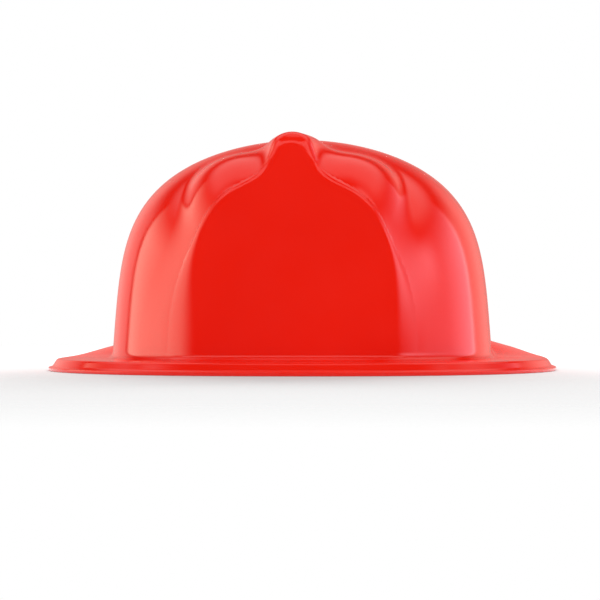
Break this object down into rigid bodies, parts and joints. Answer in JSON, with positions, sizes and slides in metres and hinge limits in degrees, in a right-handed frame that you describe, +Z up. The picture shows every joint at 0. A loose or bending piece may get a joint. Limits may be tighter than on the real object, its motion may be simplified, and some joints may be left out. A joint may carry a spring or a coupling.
{
  "type": "firefighter helmet",
  "caption": "Wide-brimmed safety helmet: a smooth dome with a tall front panel and nub, on a strap suspension with a headband tightened by a rear knob.",
  "frame": {"origin": "centre of the overall box at the brim's flat underside", "axes": "+Z up, the helmet's front faces -Y; left and right in names are -X and +X, as seen from the front"},
  "size_m": [0.25, 0.32, 0.1136],
  "materials": {
    "red_shell": "high gloss, moulded in colour",
    "red_socket": "satin",
    "black_nylon": "satin",
    "band": "satin",
    "webbing": "woven",
    "pad": "brushed cloth over foam",
    "steel": "bright zinc"
  },
  "bodies": {
    "helmet": {"shell": "red_shell", "key_socket_front_right": "red_socket", "suspension_key_front_right": "black_nylon", "key_socket_rear_right": "red_socket", "suspension_key_rear_right": "black_nylon", "key_socket_front_left": "red_socket", "suspension_key_front_left": "black_nylon", "key_socket_rear_left": "red_socket", "suspension_key_rear_left": "black_nylon", "crown_strap_lower": "webbing", "crown_strap_upper": "webbing", "crown_pad": "pad", "crown_rivet_stud": "black_nylon", "crown_rivet_cap": "black_nylon", "headband": "band", "brow_pad": "pad", "ratchet_base": "black_nylon", "ratchet_cover": "black_nylon", "nape_pad": "pad", "cover_screw_1": "steel", "cover_screw_2": "steel", "cover_screw_3": "steel", "cover_screw_4": "steel"},
    "dial": {"pinion": "black_nylon", "pawl_disc": "black_nylon", "ratchet_knob": "black_nylon", "knob_screw": "steel"},
    "left_tail": {"strap_tail_left": "band"},
    "right_tail": {"strap_tail_right": "band"}
  },
  "joints": [
    {"name": "knob_turn", "type": "hinge", "parent": "helmet", "child": "dial", "pos_m": [0, 0.078, 0.02], "axis": [0, 1, 0], "range_deg": [-150, 150]},
    {"name": "left_tail_slide", "type": "hinge", "parent": "helmet", "child": "left_tail", "pos_m": [0, 0, 0.02], "axis": [0, 0, 1], "range_deg": [-10.5, 10.5]},
    {"name": "right_tail_slide", "type": "hinge", "parent": "helmet", "child": "right_tail", "pos_m": [0, 0, 0.02], "axis": [0, 0, 1], "range_deg": [-10.5, 10.5]}
  ],
  "couplings": [
    {"joint": "left_tail_slide", "follows": "knob_turn", "ratio": -0.06834},
    {"joint": "right_tail_slide", "follows": "knob_turn", "ratio": 0.06662}
  ]
}
